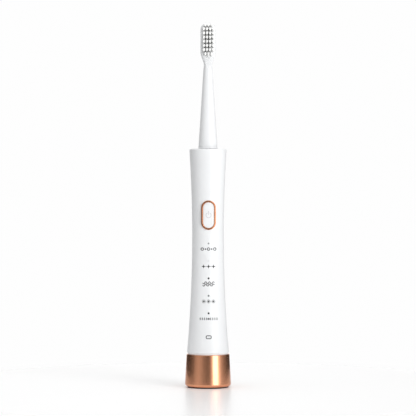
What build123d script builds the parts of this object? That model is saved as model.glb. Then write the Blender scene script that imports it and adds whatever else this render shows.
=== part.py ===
from build123d import *
import math
import os

# A sonic electric toothbrush standing in its induction charging base, in millimetres.
# +Z is up, and the origin is the centre of the face that the base stands on.
# The front, with the button, the mode lights and the bristles, faces -Y.

os.makedirs("parts", exist_ok=True)

# ---------------------------------------------------------------- clearances
glue_gap = 0.05  # between pieces that are bonded or pressed together
running_gap = 0.05  # radial, round the turning shaft
slip_gap = 0.1  # between pieces that are slid together by hand
drop_gap = 0.3  # round the handle's foot, where it drops into the base
post_gap = 0.5  # between the charging post and the recess over it

# ---------------------------------------------------------------- charging base
foot_height = 0.6
base_height = 22.7  # top edge of the metal sleeve
base_rim_radius = 14.75
base_foot_radius = 15.95
base_corner = 2.0  # rounding at the foot of the sleeve
sleeve_wall = 1.2
sleeve_lip = 3.3  # width of the sleeve's turned-in bottom edge
sleeve_edge = 0.35  # rounding of the sleeve's top edge
well_wall = 1.6
well_floor = 1.4
post_radius = 4.2
post_wall = 0.9
post_height = 12.6  # above the floor of the well
post_rounding = 1.5
plate_thickness = 1.4
charger_board_rise = 2.0  # pads between the bottom plate and the board
charger_board_margin = 2.4  # from the board's edge to the sleeve's inner face
board_thickness = 1.0  # of both circuit boards
boss_radius = 1.9
boss_circle = 9.2
boss_count = 3
boss_angle = 30  # degrees, the first boss
pad_radius = 1.2
base_screw_radius = 0.95
base_screw_head_radius = 1.8
base_screw_head_height = 0.8
base_screw_length = 4.6  # below the head
rod_radius = 2.3
rod_flange_radius = 5.5
rod_flange_height = 1.8
rod_flange_drop = 0.9  # from the well's underside
winding_build = 0.8  # thickness of the winding round the ferrite rod
usb_width = 8.94
usb_height = 3.2
usb_depth = 7.35
usb_metal = 0.3
usb_tongue_width = 6.7
usb_tongue_height = 0.7
usb_tongue_recess = 0.8  # behind the socket's mouth
usb_block_depth = 2.2

# ---------------------------------------------------------------- handle
seat_gap = 0.2  # between the sleeve's top edge and the handle's collar
collar_height = 1.4
collar_taper = 0.4
handle_length = 139.2
handle_foot_radius = 14.4
waist_radius = 10.9
waist_rise = 79.7  # from the foot of the white body to its narrowest place
shell_wall = 1.6
shell_roof = 2.0
shell_top_rounding = 0.9
spigot_depth = 8.0  # of the handle's foot inside the base
cap_wall = 1.4
cap_plug_height = 6.7
cap_tube_wall = 1.0
cap_tube_roof = 1.0
oring_section = 0.6  # radius of the ring's cross-section
oring_rise = 3.3
bobbin_wall = 0.6
bobbin_height = 8.7
bobbin_edge_gap = 0.3  # from the bobbin's flanges to the cap's wall
winding_margin = 0.2  # from the winding to the edge of the bobbin's flanges
lead_radius = 0.35
lead_x = 3.0
lead_stand_off = 1.6  # from the board to the leads that rise in front of it
lead_rise = 7.4  # from the board's lower end to where the leads join it
lead_bend = 1.2

# Button and its metal ring
button_drop = 45.4  # from the handle's top to the button's middle
ring_width = 10.1
ring_height = 20.1
ring_band = 1.2
ring_depth = 0.9
ring_proud = 0.25
ring_rounding = 0.25
ring_face_radius = 30.0  # the ring's front curves less than the body, so its long sides stand prouder
button_gap = 0.12
button_proud = 0.1
button_wall = 0.75  # at the long edges, where the cap is thinnest
button_rounding = 0.2
button_dish_width = 4.8
button_dish_height = 14.5
button_dish_corner = 1.2
button_dish_depth = 0.2
button_travel = 0.5
button_stem_radius = 1.5
gasket_thickness = 0.55

# Mode lights
mode_count = 5
mode_drop = 19.3  # from the button's middle to the first light
last_mode_rise = 27.0  # from the foot of the white body to the last light
battery_light_rise = 10.8
light_radius = 0.6
battery_light_width = 2.6
battery_light_height = 1.1
led_width = 1.6
led_height = 0.8
led_depth = 0.6
baffle_width = 4.4
baffle_bore = 1.1
baffle_end = 2.2  # beyond the first and the last light

# Inner frame, board and battery
frame_clearance = 0.3  # inside the narrowest place of the shell
frame_wall = 0.7
frame_flange = 2.0
frame_bulkhead = 4.0
frame_rail = 2.6  # at the sides of the open bay above the battery
frame_window = 3.0  # half width of the opening between the battery and the board
motor_window_depth = 0.3  # into the motor's bore, behind the button
battery_radius = 7.0
battery_length = 50.0
battery_end_gap = 0.6
tab_width = 4.0
tab_thickness = 0.2
tab_reach = 2.0  # behind the middle of the battery
board_back_gap = 0.5  # between the battery and the board
board_screw_x = 4.2
board_screw_radius = 0.75
board_screw_head_radius = 1.25
board_screw_head_height = 0.8
board_screw_reach = 1.9
switch_size = 4.5
switch_height = 1.45
plunger_radius = 1.0
plunger_height = 0.5
plunger_root = 0.6  # inside the switch

# Motor, shaft and seal
motor_length = 34.0
motor_can_wall = 0.5
motor_cap_thickness = 2.6
bearing_radius = 3.5
bearing_length = 2.0
shaft_radius = 2.0
journal_radius = 1.5
shaft_reach = 25.5  # above the handle's top
shaft_flat = 1.4  # from the axis
shaft_flat_length = 18.0
shaft_chamfer = 0.4
stator_length = 16.0
yoke_wall = 1.0
pole_width = 3.6
pole_tip_radius = 4.0
pole_tip_thickness = 0.7
pole_tip_gap = 5.2  # between the two pole tips, across the axis
winding_thickness = 1.1  # round each pole
rotor_length = 14.0
rotor_hub_radius = 2.6
magnet_radius = 3.6
magnet_gap = 2.6  # between the two magnets
motor_lead_radius = 0.45
motor_lead_x = 2.5
motor_lead_y = 4.5
motor_lead_drop = 14.0
motor_lead_bend = 3.0
seal_flange_radius = 6.5
seal_flange_height = 1.5
seal_tube_radius = 3.4
cushion_height = 4.0
cushion_drop = 7.0  # from the top of the motor

# ---------------------------------------------------------------- brush head
neck_gap = 0.4  # between the handle's top and the head
head_length = 86.1
neck_foot_radius = 6.6
neck_tip_radius = 3.08
neck_taper = 55.1
neck_wall = 1.1
neck_ring_height = 1.3
neck_ring_wall = 1.0
neck_ring_spigot = 2.0
socket_roof = 1.2
clip_width = 2.2
clip_thickness = 0.3
clip_length = 11.4
clip_bow = 1.1
clip_drop = 9.0  # from the shaft's tip to the clip's middle
plate_width = 10.3
plate_front = 2.3
plate_back = 2.2
plate_length = 20.5
plate_corner = 4.4
plate_rounding = 1.3
shoulder_width = 8.3  # halfway between the neck and the plate
shoulder_rise = 7.0
shoulder_rounding = 1.8
throat_rise = 4.0  # from the neck's tip to where the shoulders start
throat_rounding = 2.3
facet_drop = 11.0  # from the plate's foot down to the foot of the flat on the throat
facet_ramp = 3.6  # height over which the flat runs out onto the round neck
tuft_width = 1.48
tuft_height = 2.0
tuft_spread = 0.04  # how much a tuft grows on every side towards its tips
tuft_gap = 0.02
tuft_hole_depth = 3.0
tuft_length = 10.0
tuft_pitch_x = 2.1
tuft_pitch_z = 2.83
tuft_top_margin = 2.1  # from the head's top to the first row
tuft_rows = (3, 4, 4, 4, 4, 4, 4, 3)
anchor_height = 0.9
anchor_length = 1.9
anchor_thickness = 0.3

# ---------------------------------------------------------------- levels and fits
plate_level = foot_height + sleeve_wall
boss_foot = plate_level + plate_thickness
pad_angle = boss_angle + 180 / boss_count  # the pads stand between the bosses
charger_board_level = boss_foot + charger_board_rise
charger_board_top = charger_board_level + board_thickness
usb_level = charger_board_top + usb_height / 2
well_radius = base_rim_radius - sleeve_wall - glue_gap
spigot_radius = well_radius - well_wall - drop_gap
seat_level = base_height + seat_gap
cap_foot = seat_level - spigot_depth
well_floor_level = cap_foot - drop_gap
well_foot = well_floor_level - well_floor
post_top = well_floor_level + post_height

shell_foot = seat_level + collar_height
shell_top = shell_foot + handle_length
waist_level = shell_foot + waist_rise
flare_depth = handle_foot_radius - waist_radius
flare_radius = (waist_rise**2 + flare_depth**2) / (2 * flare_depth)
cap_tube_radius = post_radius + post_gap + cap_tube_wall
bobbin_foot = cap_foot + cap_wall
bobbin_top = bobbin_foot + bobbin_height
bobbin_radius = cap_tube_radius + slip_gap + bobbin_wall
bobbin_flange_radius = spigot_radius - cap_wall - bobbin_edge_gap

frame_radius = waist_radius - shell_wall - frame_clearance
motor_radius = frame_radius - frame_wall - glue_gap
motor_top = shell_top - shell_roof - seal_flange_height
motor_foot = motor_top - motor_length
motor_middle = (motor_foot + motor_top) / 2
frame_foot = shell_foot + cap_plug_height + slip_gap
frame_top = motor_top - motor_cap_thickness
battery_y = frame_radius - slip_gap - battery_radius
battery_bay_foot = frame_foot + frame_bulkhead
battery_foot = battery_bay_foot + battery_end_gap
battery_top = battery_foot + battery_length
battery_bay_top = battery_top + battery_end_gap
lead_bay_foot = battery_bay_top + frame_bulkhead
lead_bay_top = motor_foot - frame_bulkhead

# Depths in front of the axis
board_back = battery_radius - battery_y + board_back_gap
board_front = board_back + board_thickness
board_top = motor_foot - slip_gap
board_width = 2 * (math.sqrt(frame_radius**2 - board_front**2) - slip_gap)
baffle_front = math.sqrt(frame_radius**2 - (baffle_width / 2) ** 2)
switch_front = board_front + switch_height
plunger_tip = switch_front + plunger_height

button_level = shell_top - button_drop
button_width = ring_width - 2 * ring_band - 2 * button_gap
button_height = ring_height - 2 * ring_band - 2 * button_gap
mode_pitch = (button_level - mode_drop - shell_foot - last_mode_rise) / (mode_count - 1)
mode_levels = [button_level - mode_drop - i * mode_pitch for i in range(mode_count)]
battery_light_level = shell_foot + battery_light_rise

shaft_top = shell_top + shaft_reach
neck_foot = shell_top + neck_gap
head_top = neck_foot + head_length
neck_slope = (neck_foot_radius - neck_tip_radius) / neck_taper
neck_tip = neck_foot + neck_taper
neck_ring_top = neck_foot + neck_ring_height
socket_foot = neck_ring_top + neck_ring_spigot + slip_gap
socket_top = shaft_top + slip_gap + socket_roof
plate_foot = head_top - plate_length
facet_foot = plate_foot - facet_drop
facet_top = facet_foot + facet_ramp

seated = (Align.CENTER, Align.CENTER, Align.MIN)


def sleeve_radius(level):
    """Outer radius of the base's sleeve at a height."""
    slope = (base_foot_radius - base_rim_radius) / (base_height - foot_height)
    return base_foot_radius - (level - foot_height) * slope


def handle_radius(level, inset=0.0):
    """Radius of the flared body at a height, a distance inside its outer face."""
    rise = level - waist_level
    return waist_radius + flare_radius - math.sqrt((flare_radius + inset) ** 2 - rise**2)


def neck_radius(level):
    """Outer radius of the tapered neck at a height."""
    return neck_foot_radius - (level - neck_foot) * neck_slope


def ring_section(inner, outer, low, high):
    """Half section of a plain ring or disc, for revolving about Z."""
    with BuildSketch(Plane.XZ) as section:
        with Locations(((inner + outer) / 2, (low + high) / 2)):
            Rectangle(outer - inner, high - low)
    return section.sketch


def outline_section(*points):
    """Half section with straight sides, for revolving about Z."""
    with BuildSketch(Plane.XZ) as section:
        with BuildLine():
            Polyline(*points, close=True)
        make_face()
    return section.sketch


def flared_section(inset, low, high):
    """Half section of the flared body between two heights, for revolving about Z."""
    middle = (low + high) / 2
    with BuildSketch(Plane.XZ) as section:
        with BuildLine():
            Polyline(
                (handle_radius(low, inset), low),
                (0, low),
                (0, high),
                (handle_radius(high, inset), high),
            )
            ThreePointArc(
                (handle_radius(low, inset), low),
                (handle_radius(middle, inset), middle),
                (handle_radius(high, inset), high),
            )
        make_face()
    return section.sketch


def wall_section(low, high):
    """Half section of the shell's wall over a short stretch, as good as straight, for revolving about Z."""
    return outline_section(
        (handle_radius(low) - shell_wall, low),
        (handle_radius(low), low),
        (handle_radius(high), high),
        (handle_radius(high) - shell_wall, high),
    )


def neck_section(inset, low, high):
    """Half section of the tapered neck between two heights, for revolving about Z."""
    return outline_section(
        (0, low),
        (neck_radius(low) - inset, low),
        (neck_radius(high) - inset, high),
        (0, high),
    )


def front_rectangle(depth, level, width, height, x=0.0):
    """Rectangle facing the front, on the plane that lies depth in front of the axis."""
    with BuildSketch(Plane.XZ.offset(depth)) as rectangle:
        with Locations((x, level)):
            Rectangle(width, height)
    return rectangle.sketch


def front_disc(depth, level, radius, x=0.0):
    """Disc facing the front, on the plane that lies depth in front of the axis."""
    with BuildSketch(Plane.XZ.offset(depth)) as disc:
        with Locations((x, level)):
            Circle(radius)
    return disc.sketch


def front_slot(depth, level, length, width, turn=0):
    """Slot with round ends facing the front: level as it is, upright when turned by 90."""
    with BuildSketch(Plane.XZ.offset(depth)) as slot:
        with Locations((0, level)):
            SlotOverall(length, width, rotation=turn)
    return slot.sketch


# ================================================================ charging base
with BuildPart() as base_sleeve:
    with BuildSketch(Plane.XZ) as sleeve_section:
        with BuildLine():
            Polyline(
                (base_foot_radius - sleeve_lip, foot_height),
                (base_foot_radius, foot_height),
                (base_rim_radius, base_height),
                (base_rim_radius - sleeve_wall, base_height),
                (sleeve_radius(plate_level) - sleeve_wall, plate_level),
                (base_foot_radius - sleeve_lip, plate_level),
                close=True,
            )
        make_face()
        bottom_edge = sleeve_section.vertices().sort_by_distance((base_foot_radius, foot_height))[0]
        fillet(bottom_edge, base_corner)
        inner_corner = (base_foot_radius - sleeve_wall, plate_level)
        inner_edge = sleeve_section.vertices().sort_by_distance(inner_corner)[0]
        fillet(inner_edge, base_corner - sleeve_wall)
        fillet(sleeve_section.vertices().group_by(Axis.Y)[-1], sleeve_edge)
    revolve(axis=Axis.Z)
    with BuildSketch(Plane.XZ):
        with Locations((0, usb_level)):
            SlotOverall(usb_width + 2 * slip_gap, usb_height + 2 * slip_gap)
    extrude(amount=-2 * base_foot_radius, mode=Mode.SUBTRACT)
base_sleeve.part.label = "base_sleeve"
export_step(base_sleeve.part, "parts/base_sleeve.step")

with BuildPart() as rubber_foot:
    Cylinder(base_foot_radius - base_corner - glue_gap, foot_height, align=seated)
    with BuildSketch(Plane.XY.offset(foot_height)):
        Circle(base_foot_radius - sleeve_lip - glue_gap)
    extrude(amount=sleeve_wall)
rubber_foot.part.label = "rubber_foot"
export_step(rubber_foot.part, "parts/rubber_foot.step")

with BuildPart() as base_plate:
    with BuildSketch(Plane.XY.offset(plate_level)):
        Circle(well_radius)
    extrude(amount=plate_thickness)
    with BuildSketch(Plane.XY.offset(boss_foot)):
        with PolarLocations(boss_circle, boss_count, start_angle=pad_angle):
            Circle(pad_radius)
    extrude(amount=charger_board_rise)
    with BuildSketch(Plane.XY.offset(plate_level)):
        with PolarLocations(boss_circle, boss_count, start_angle=boss_angle):
            Circle(base_screw_radius + slip_gap)
    extrude(amount=plate_thickness, mode=Mode.SUBTRACT)
    with BuildSketch(Plane.XY.offset(plate_level)):
        with PolarLocations(boss_circle, boss_count, start_angle=boss_angle):
            Circle(base_screw_head_radius + slip_gap)
    extrude(amount=base_screw_head_height, mode=Mode.SUBTRACT)
base_plate.part.label = "base_plate"
export_step(base_plate.part, "parts/base_plate.step")

with BuildPart() as base_screws:
    with BuildSketch(Plane.XY.offset(plate_level)):
        with PolarLocations(boss_circle, boss_count, start_angle=boss_angle):
            Circle(base_screw_head_radius)
    extrude(amount=base_screw_head_height)
    with BuildSketch(Plane.XY.offset(plate_level + base_screw_head_height)):
        with PolarLocations(boss_circle, boss_count, start_angle=boss_angle):
            Circle(base_screw_radius)
    extrude(amount=base_screw_length)
base_screws.part.label = "base_screws"
export_step(base_screws.part, "parts/base_screws.step")

with BuildPart() as charger_board:
    with BuildSketch(Plane.XY.offset(charger_board_level)):
        Circle(sleeve_radius(usb_level) - sleeve_wall - charger_board_margin)
        with PolarLocations(boss_circle, boss_count, start_angle=boss_angle):
            Circle(boss_radius + slip_gap, mode=Mode.SUBTRACT)
    extrude(amount=board_thickness)
charger_board.part.label = "charger_board"
export_step(charger_board.part, "parts/charger_board.step")

# Coil driver, regulator, and two pairs of small capacitors: centre, size and height
charger_parts = (
    (7.9, -1.8, 3.0, 3.0, 0.8),
    (-8.0, -1.6, 2.8, 4.0, 1.1),
    (4.6, -7.0, 1.6, 0.8, 0.7),
    (4.6, -5.6, 1.6, 0.8, 0.7),
    (-4.6, -7.0, 1.6, 0.8, 0.7),
    (-4.6, -5.6, 1.6, 0.8, 0.7),
)
with BuildPart() as charger_chips:
    for x, y, width, depth, height in charger_parts:
        with BuildSketch(Plane.XY.offset(charger_board_top)):
            with Locations((x, y)):
                Rectangle(width, depth)
        extrude(amount=height)
charger_chips.part.label = "charger_chips"
export_step(charger_chips.part, "parts/charger_chips.step")

# The socket's mouth is level with the sleeve's outer face at the mouth's two ends.
usb_mouth = math.sqrt(sleeve_radius(usb_level) ** 2 - (usb_width / 2) ** 2)
with BuildPart() as usb_shell:
    with BuildSketch(Plane.XZ.offset(-usb_mouth)):
        with Locations((0, usb_level)):
            SlotOverall(usb_width, usb_height)
            SlotOverall(usb_width - 2 * usb_metal, usb_height - 2 * usb_metal, mode=Mode.SUBTRACT)
    extrude(amount=usb_depth)
usb_shell.part.label = "usb_shell"
export_step(usb_shell.part, "parts/usb_shell.step")

usb_inside = 2 * usb_metal + 2 * glue_gap
with BuildPart() as usb_tongue:
    with BuildSketch(Plane.XZ.offset(usb_depth - usb_mouth)):
        with Locations((0, usb_level)):
            SlotOverall(usb_width - usb_inside, usb_height - usb_inside)
    extrude(amount=-usb_block_depth)
    with BuildSketch(Plane.XZ.offset(usb_tongue_recess - usb_mouth)):
        with Locations((0, usb_level)):
            Rectangle(usb_tongue_width, usb_tongue_height)
    extrude(amount=usb_depth - usb_tongue_recess)
usb_tongue.part.label = "usb_tongue"
export_step(usb_tongue.part, "parts/usb_tongue.step")

with BuildPart() as charger_well:
    revolve(ring_section(0, well_radius, well_foot, seat_level), axis=Axis.Z)
    revolve(
        ring_section(0, well_radius - well_wall, well_floor_level, seat_level),
        axis=Axis.Z,
        mode=Mode.SUBTRACT,
    )
    with BuildSketch(Plane.XY.offset(well_floor_level)):
        Circle(post_radius)
    extrude(amount=post_height)
    fillet(charger_well.edges().group_by(Axis.Z)[-1], post_rounding)
    with BuildSketch(Plane.XY.offset(well_foot)):
        with PolarLocations(boss_circle, boss_count, start_angle=boss_angle):
            Circle(boss_radius)
    extrude(amount=boss_foot - well_foot)
    revolve(
        ring_section(0, post_radius - post_wall, well_foot, post_top - post_wall),
        axis=Axis.Z,
        mode=Mode.SUBTRACT,
    )
    with BuildSketch(Plane.XY.offset(boss_foot)):
        with PolarLocations(boss_circle, boss_count, start_angle=boss_angle):
            Circle(base_screw_radius + glue_gap)
    extrude(amount=base_screw_length, mode=Mode.SUBTRACT)
charger_well.part.label = "charger_well"
export_step(charger_well.part, "parts/charger_well.step")

rod_flange_top = well_foot - rod_flange_drop
rod_top = post_top - post_wall - drop_gap
with BuildPart() as ferrite_core:
    revolve(ring_section(0, rod_radius, charger_board_top, rod_top), axis=Axis.Z)
    revolve(
        ring_section(0, rod_flange_radius, rod_flange_top - rod_flange_height, rod_flange_top),
        axis=Axis.Z,
    )
ferrite_core.part.label = "ferrite_core"
export_step(ferrite_core.part, "parts/ferrite_core.step")

with BuildPart() as transmit_coil:
    revolve(
        ring_section(rod_radius + glue_gap, rod_radius + winding_build, rod_flange_top, rod_top),
        axis=Axis.Z,
    )
transmit_coil.part.label = "transmit_coil"
export_step(transmit_coil.part, "parts/transmit_coil.step")

# ================================================================ foot of the handle
collar_foot_radius = handle_foot_radius - slip_gap - collar_taper
cap_cavity_radius = spigot_radius - cap_wall
recess_top = post_top + post_gap
oring_level = shell_foot + oring_rise
oring_radius = handle_radius(oring_level, shell_wall + glue_gap) - oring_section
with BuildPart() as bottom_cap:
    revolve(ring_section(0, spigot_radius, cap_foot, seat_level), axis=Axis.Z)
    revolve(
        outline_section(
            (0, seat_level),
            (collar_foot_radius, seat_level),
            (handle_foot_radius - slip_gap, shell_foot),
            (0, shell_foot),
        ),
        axis=Axis.Z,
    )
    revolve(
        flared_section(shell_wall + glue_gap, shell_foot, shell_foot + cap_plug_height),
        axis=Axis.Z,
    )
    revolve(
        ring_section(0, cap_cavity_radius, bobbin_foot, shell_foot + cap_plug_height),
        axis=Axis.Z,
        mode=Mode.SUBTRACT,
    )
    revolve(ring_section(0, cap_tube_radius, cap_foot, recess_top + cap_tube_roof), axis=Axis.Z)
    revolve(
        ring_section(0, cap_tube_radius - cap_tube_wall, cap_foot, recess_top),
        axis=Axis.Z,
        mode=Mode.SUBTRACT,
    )
    revolve(
        ring_section(
            oring_radius - oring_section - glue_gap,
            handle_foot_radius,
            oring_level - oring_section - glue_gap,
            oring_level + oring_section + glue_gap,
        ),
        axis=Axis.Z,
        mode=Mode.SUBTRACT,
    )
bottom_cap.part.label = "bottom_cap"
export_step(bottom_cap.part, "parts/bottom_cap.step")

with BuildPart() as cap_oring:
    with BuildSketch(Plane.XZ):
        with Locations((oring_radius, oring_level)):
            Circle(oring_section)
    revolve(axis=Axis.Z)
cap_oring.part.label = "cap_oring"
export_step(cap_oring.part, "parts/cap_oring.step")

with BuildPart() as coil_bobbin:
    revolve(ring_section(bobbin_radius - bobbin_wall, bobbin_radius, bobbin_foot, bobbin_top), axis=Axis.Z)
    for level in (bobbin_foot, bobbin_top - bobbin_wall):
        revolve(
            ring_section(bobbin_radius - bobbin_wall, bobbin_flange_radius, level, level + bobbin_wall),
            axis=Axis.Z,
        )
coil_bobbin.part.label = "coil_bobbin"
export_step(coil_bobbin.part, "parts/coil_bobbin.step")

with BuildPart() as receiver_coil:
    revolve(
        ring_section(
            bobbin_radius + glue_gap,
            bobbin_flange_radius - winding_margin,
            bobbin_foot + bobbin_wall,
            bobbin_top - bobbin_wall,
        ),
        axis=Axis.Z,
    )
receiver_coil.part.label = "receiver_coil"
export_step(receiver_coil.part, "parts/receiver_coil.step")

lead_depth = board_front + lead_stand_off
lead_level = frame_foot + lead_rise
with BuildPart() as coil_leads:
    for x in (-lead_x, lead_x):
        with BuildLine(Plane.YZ.offset(x)):
            FilletPolyline(
                (-lead_depth, bobbin_top),
                (-lead_depth, lead_level),
                (-board_front, lead_level),
                radius=lead_bend,
            )
        with BuildSketch(Plane.XY.offset(bobbin_top)):
            with Locations((x, -lead_depth)):
                Circle(lead_radius)
        sweep()
coil_leads.part.label = "coil_leads"
export_step(coil_leads.part, "parts/coil_leads.step")

# ================================================================ handle shell, button and lights
ring_low = button_level - ring_height
ring_high = button_level + ring_height
with BuildPart() as ring_pocket:
    extrude(
        front_slot(0, button_level, ring_height + 2 * glue_gap, ring_width + 2 * glue_gap, 90),
        amount=2 * handle_foot_radius,
    )
    revolve(flared_section(ring_depth + glue_gap, ring_low, ring_high), axis=Axis.Z, mode=Mode.SUBTRACT)

with BuildPart() as handle_shell:
    revolve(flared_section(0, shell_foot, shell_top), axis=Axis.Z)
    fillet(handle_shell.edges().group_by(Axis.Z)[-1], shell_top_rounding)
    revolve(flared_section(shell_wall, shell_foot, shell_top - shell_roof), axis=Axis.Z, mode=Mode.SUBTRACT)
    revolve(
        ring_section(0, seal_tube_radius + glue_gap, motor_top, shell_top),
        axis=Axis.Z,
        mode=Mode.SUBTRACT,
    )
    add(ring_pocket.part, mode=Mode.SUBTRACT)
    extrude(
        front_slot(0, button_level, ring_height - 2 * ring_band, ring_width - 2 * ring_band, 90),
        amount=handle_foot_radius,
        mode=Mode.SUBTRACT,
    )
    for level in mode_levels:
        extrude(
            front_disc(0, level, light_radius + glue_gap),
            amount=handle_foot_radius,
            mode=Mode.SUBTRACT,
        )
    extrude(
        front_slot(
            0,
            battery_light_level,
            battery_light_width + 2 * glue_gap,
            battery_light_height + 2 * glue_gap,
        ),
        amount=handle_foot_radius,
        mode=Mode.SUBTRACT,
    )
handle_shell.part.label = "handle_shell"
export_step(handle_shell.part, "parts/handle_shell.step")

with BuildPart() as mode_windows:
    for level in mode_levels:
        revolve(wall_section(level - 2 * light_radius, level + 2 * light_radius), axis=Axis.Z)
    with BuildSketch(Plane.XZ):
        with Locations(*[(0, level) for level in mode_levels]):
            Circle(light_radius)
    extrude(amount=handle_foot_radius, mode=Mode.INTERSECT)
mode_windows.part.label = "mode_windows"
export_step(mode_windows.part, "parts/mode_windows.step")

with BuildPart() as battery_window:
    revolve(
        wall_section(
            battery_light_level - battery_light_height,
            battery_light_level + battery_light_height,
        ),
        axis=Axis.Z,
    )
    extrude(
        front_slot(0, battery_light_level, battery_light_width, battery_light_height),
        amount=handle_foot_radius,
        mode=Mode.INTERSECT,
    )
battery_window.part.label = "battery_window"
export_step(battery_window.part, "parts/battery_window.step")

ring_face_back = ring_face_radius - handle_radius(button_level, -ring_proud)
ring_face_section = flared_section(-ring_proud, ring_low, ring_high)
with BuildPart() as button_ring:
    revolve(
        ring_face_section.moved(Location((ring_face_back, ring_face_back, 0))),
        axis=Axis((0, ring_face_back, 0), (0, 0, 1)),
    )
    revolve(flared_section(ring_depth, ring_low, ring_high), axis=Axis.Z, mode=Mode.SUBTRACT)
    extrude(
        front_slot(0, button_level, ring_height, ring_width, 90),
        amount=2 * handle_foot_radius,
        mode=Mode.INTERSECT,
    )
    extrude(
        front_slot(0, button_level, ring_height - 2 * ring_band, ring_width - 2 * ring_band, 90),
        amount=2 * handle_foot_radius,
        mode=Mode.SUBTRACT,
    )
    fillet(button_ring.faces().sort_by(Axis.Y)[0].edges(), ring_rounding)
button_ring.part.label = "button_ring"
export_step(button_ring.part, "parts/button_ring.step")

# The cap's back is flat, and it is set by the wall at the narrow end of its long edges.
button_end = min(
    handle_radius(button_level - button_height / 2),
    handle_radius(button_level + button_height / 2),
)
button_back = math.sqrt((button_end + button_proud) ** 2 - (button_width / 2) ** 2) - button_wall
with BuildPart() as button_dish:
    with BuildSketch(Plane.XZ.offset(button_back)):
        with Locations((0, button_level)):
            RectangleRounded(button_dish_width, button_dish_height, button_dish_corner)
    extrude(amount=handle_foot_radius)
    revolve(
        flared_section(button_dish_depth - button_proud, ring_low, ring_high),
        axis=Axis.Z,
        mode=Mode.SUBTRACT,
    )

with BuildPart() as power_button:
    revolve(flared_section(-button_proud, ring_low, ring_high), axis=Axis.Z)
    extrude(
        front_slot(button_back, button_level, button_height, button_width, 90),
        amount=handle_foot_radius,
        mode=Mode.INTERSECT,
    )
    fillet(power_button.faces().sort_by(Axis.Y)[0].edges(), button_rounding)
    add(button_dish.part, mode=Mode.SUBTRACT)
    extrude(
        front_disc(button_back, button_level, button_stem_radius),
        amount=plunger_tip + glue_gap - button_back,
    )
power_button.part.label = "power_button"
export_step(power_button.part, "parts/power_button.step")

gasket_front = button_back - button_travel - glue_gap
with BuildPart() as button_gasket:
    extrude(
        front_slot(
            gasket_front,
            button_level,
            ring_height - 2 * ring_band - 2 * glue_gap,
            ring_width - 2 * ring_band - 2 * glue_gap,
            90,
        ),
        amount=-gasket_thickness,
    )
    extrude(
        front_disc(gasket_front, button_level, button_stem_radius + slip_gap),
        amount=-gasket_thickness,
        mode=Mode.SUBTRACT,
    )
button_gasket.part.label = "button_gasket"
export_step(button_gasket.part, "parts/button_gasket.step")

# ================================================================ inner frame, board and battery
frame_middle = (frame_foot + motor_foot) / 2
screw_levels = (frame_foot + frame_bulkhead / 2, motor_foot - frame_bulkhead / 2)
screw_places = [(x, level) for x in (-board_screw_x, board_screw_x) for level in screw_levels]
with BuildPart() as inner_frame:
    revolve(ring_section(0, frame_radius, frame_foot, frame_top), axis=Axis.Z)
    revolve(
        flared_section(shell_wall + frame_clearance, frame_foot, frame_foot + frame_flange),
        axis=Axis.Z,
    )
    revolve(
        ring_section(0, motor_radius + glue_gap, motor_foot, frame_top),
        axis=Axis.Z,
        mode=Mode.SUBTRACT,
    )
    extrude(
        front_rectangle(board_back, frame_middle, 2 * handle_foot_radius, motor_foot - frame_foot),
        amount=handle_foot_radius,
        mode=Mode.SUBTRACT,
    )
    with BuildSketch(Plane.XY.offset(battery_bay_foot)):
        with Locations((0, battery_y)):
            Circle(battery_radius + slip_gap)
            Rectangle(2 * (battery_radius + slip_gap), frame_radius, align=(Align.CENTER, Align.MIN))
        Rectangle(2 * frame_window, 2 * frame_radius)
    extrude(amount=battery_bay_top - battery_bay_foot, mode=Mode.SUBTRACT)
    with BuildSketch(Plane.XY.offset(lead_bay_foot)):
        Rectangle(2 * (frame_radius - frame_rail), 2 * frame_radius)
    extrude(amount=lead_bay_top - lead_bay_foot, mode=Mode.SUBTRACT)
    with BuildSketch(Plane.XY.offset(lead_bay_top)):
        with Locations((-motor_lead_x, motor_lead_y), (motor_lead_x, motor_lead_y)):
            Circle(motor_lead_radius + slip_gap)
    extrude(amount=frame_bulkhead, mode=Mode.SUBTRACT)
    extrude(
        front_rectangle(
            motor_radius - motor_window_depth,
            button_level + ring_height / 4,
            2 * frame_radius,
            ring_height / 2,
        ),
        amount=frame_radius,
        mode=Mode.SUBTRACT,
    )
    for x, level in screw_places:
        extrude(
            front_disc(board_back, level, board_screw_radius + glue_gap, x),
            amount=-board_screw_reach - slip_gap,
            mode=Mode.SUBTRACT,
        )
inner_frame.part.label = "inner_frame"
export_step(inner_frame.part, "parts/inner_frame.step")

with BuildPart() as battery_cell:
    with BuildSketch(Plane.XY.offset(battery_foot)):
        with Locations((0, battery_y)):
            Circle(battery_radius)
    extrude(amount=battery_length)
battery_cell.part.label = "battery_cell"
export_step(battery_cell.part, "parts/battery_cell.step")

tab_length = board_back + battery_y + tab_reach
with BuildPart() as battery_tabs:
    for level in (battery_foot - tab_thickness, battery_top):
        with BuildSketch(Plane.XY.offset(level)):
            with Locations((0, tab_length / 2 - board_back)):
                Rectangle(tab_width, tab_length)
        extrude(amount=tab_thickness)
battery_tabs.part.label = "battery_tabs"
export_step(battery_tabs.part, "parts/battery_tabs.step")

with BuildPart() as main_board:
    extrude(
        front_rectangle(board_back, (frame_foot + board_top) / 2, board_width, board_top - frame_foot),
        amount=board_thickness,
    )
    for x, level in screw_places:
        extrude(
            front_disc(board_back, level, board_screw_radius + slip_gap, x),
            amount=board_thickness,
            mode=Mode.SUBTRACT,
        )
main_board.part.label = "main_board"
export_step(main_board.part, "parts/main_board.step")

with BuildPart() as board_screws:
    for x, level in screw_places:
        extrude(front_disc(board_front, level, board_screw_head_radius, x), amount=board_screw_head_height)
        extrude(
            front_disc(board_front, level, board_screw_radius, x),
            amount=-board_thickness - board_screw_reach,
        )
board_screws.part.label = "board_screws"
export_step(board_screws.part, "parts/board_screws.step")

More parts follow.
